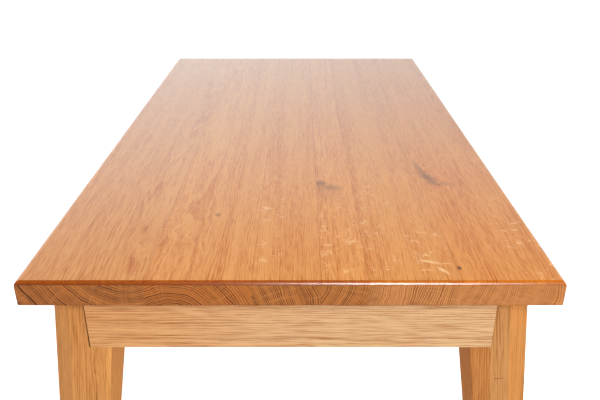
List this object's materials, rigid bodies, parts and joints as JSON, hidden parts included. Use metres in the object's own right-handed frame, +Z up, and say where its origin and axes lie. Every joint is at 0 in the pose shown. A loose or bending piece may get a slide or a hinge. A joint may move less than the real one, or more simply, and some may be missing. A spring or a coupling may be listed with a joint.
{
  "type": "dining table",
  "caption": "Solid oak table: edge-glued board top on splayed, tapered, glued-up legs, with lapped aprons and a cross rail beneath.",
  "frame": {"origin": "on the floor, under the middle of the top", "axes": "+Z up, +Y along the length towards the back end, +X to the right when looking from the front (-Y) end"},
  "size_m": [0.9466, 1.6466, 0.75],
  "materials": {
    "oak_top": "satin lacquered oak, lengthwise grain, end grain at the two ends",
    "oak_leg": "satin lacquered oak, upright grain",
    "oak_apron": "satin lacquered oak, straight lengthwise grain",
    "oak_inner": "planed oak with one thin coat, matt",
    "beech_dowel": "bare beech",
    "nylon_glide": "matt moulded nylon",
    "zinc_steel": "bright zinc plate"
  },
  "bodies": {
    "root": {"apron_dowels": "beech_dowel", "bolt_nuts": "zinc_steel", "bolt_washers": "zinc_steel", "corner_block_back_left": "oak_inner", "corner_block_back_right": "oak_inner", "corner_block_front_left": "oak_inner", "corner_block_front_right": "oak_inner", "corner_block_screws": "zinc_steel", "cross_rail": "oak_inner", "end_apron_back": "oak_apron", "end_apron_front": "oak_apron", "foot_glide_back_left": "nylon_glide", "foot_glide_back_right": "nylon_glide", "foot_glide_front_left": "nylon_glide", "foot_glide_front_right": "nylon_glide", "glide_screws": "zinc_steel", "hanger_bolts": "zinc_steel", "leg_back_left_inner_stave": "oak_leg", "leg_back_left_middle_stave": "oak_leg", "leg_back_left_outer_stave": "oak_leg", "leg_back_right_inner_stave": "oak_leg", "leg_back_right_middle_stave": "oak_leg", "leg_back_right_outer_stave": "oak_leg", "leg_front_left_inner_stave": "oak_leg", "leg_front_left_middle_stave": "oak_leg", "leg_front_left_outer_stave": "oak_leg", "leg_front_right_inner_stave": "oak_leg", "leg_front_right_middle_stave": "oak_leg", "leg_front_right_outer_stave": "oak_leg", "rail_screws": "zinc_steel", "side_apron_left": "oak_apron", "side_apron_right": "oak_apron", "top_board_1": "oak_top", "top_board_2": "oak_top", "top_board_3": "oak_top", "top_board_4": "oak_top", "top_board_5": "oak_top", "top_board_6": "oak_top", "top_clip_screws": "zinc_steel", "top_clips": "zinc_steel"}
  },
  "joints": []
}
